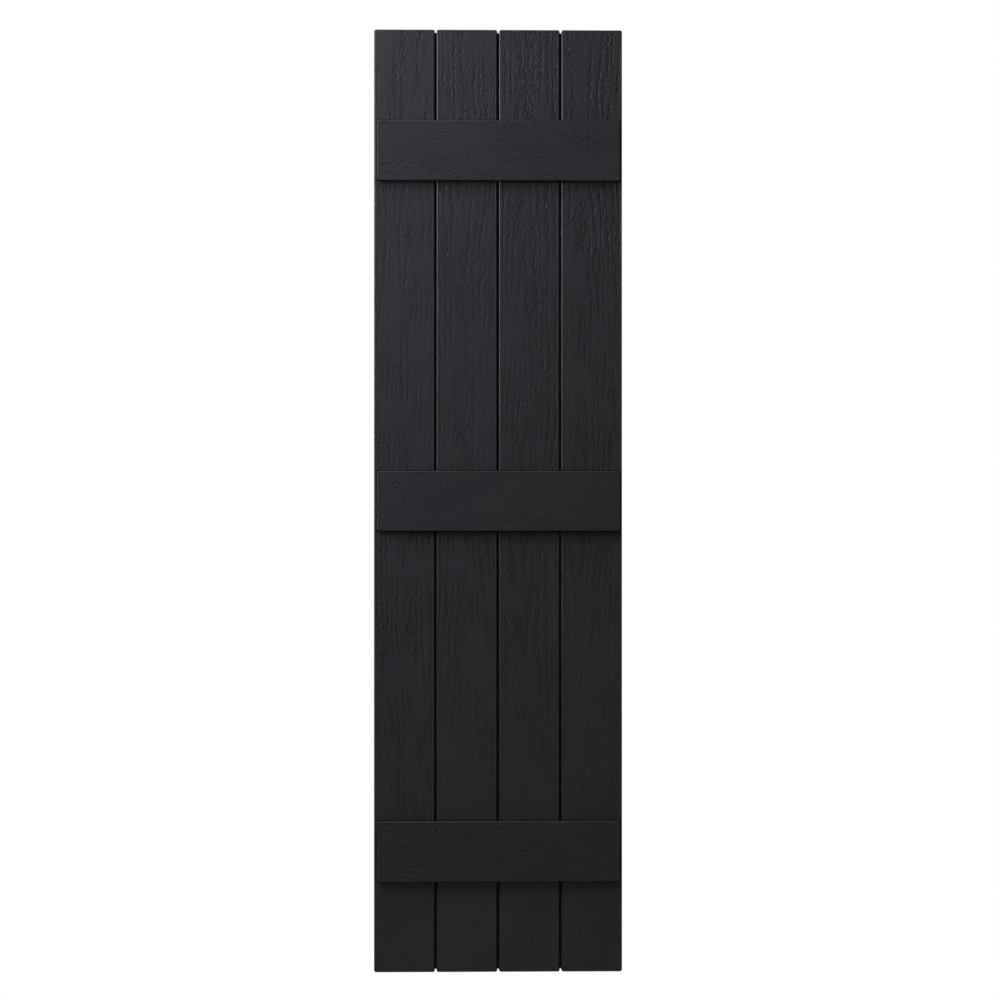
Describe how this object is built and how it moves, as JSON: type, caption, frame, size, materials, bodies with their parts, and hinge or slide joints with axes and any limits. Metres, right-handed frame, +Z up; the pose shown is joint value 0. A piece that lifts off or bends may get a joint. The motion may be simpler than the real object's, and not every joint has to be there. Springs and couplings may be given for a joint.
{
  "type": "board and batten shutter",
  "caption": "A fixed exterior window shutter: upright wood-grained boards lapped edge to edge, with narrow grooves between them, tied by flat battens across the front and screwed to a wall.",
  "frame": {"origin": "centre of the back plane, where the shutter lies against a wall", "axes": "+Z up along the boards, +Y out of the back into the wall, the front faces -Y, +X to the right seen from the front"},
  "size_m": [0.368, 0.0285, 1.397],
  "materials": {
    "board_plastic": "satin black, embossed with upright wood grain",
    "batten_plastic": "satin black, embossed with fine level wood grain"
  },
  "bodies": {
    "root": {"left_outer_board": "board_plastic", "left_inner_board": "board_plastic", "right_inner_board": "board_plastic", "right_outer_board": "board_plastic", "top_batten": "batten_plastic", "middle_batten": "batten_plastic", "bottom_batten": "batten_plastic"}
  },
  "joints": []
}
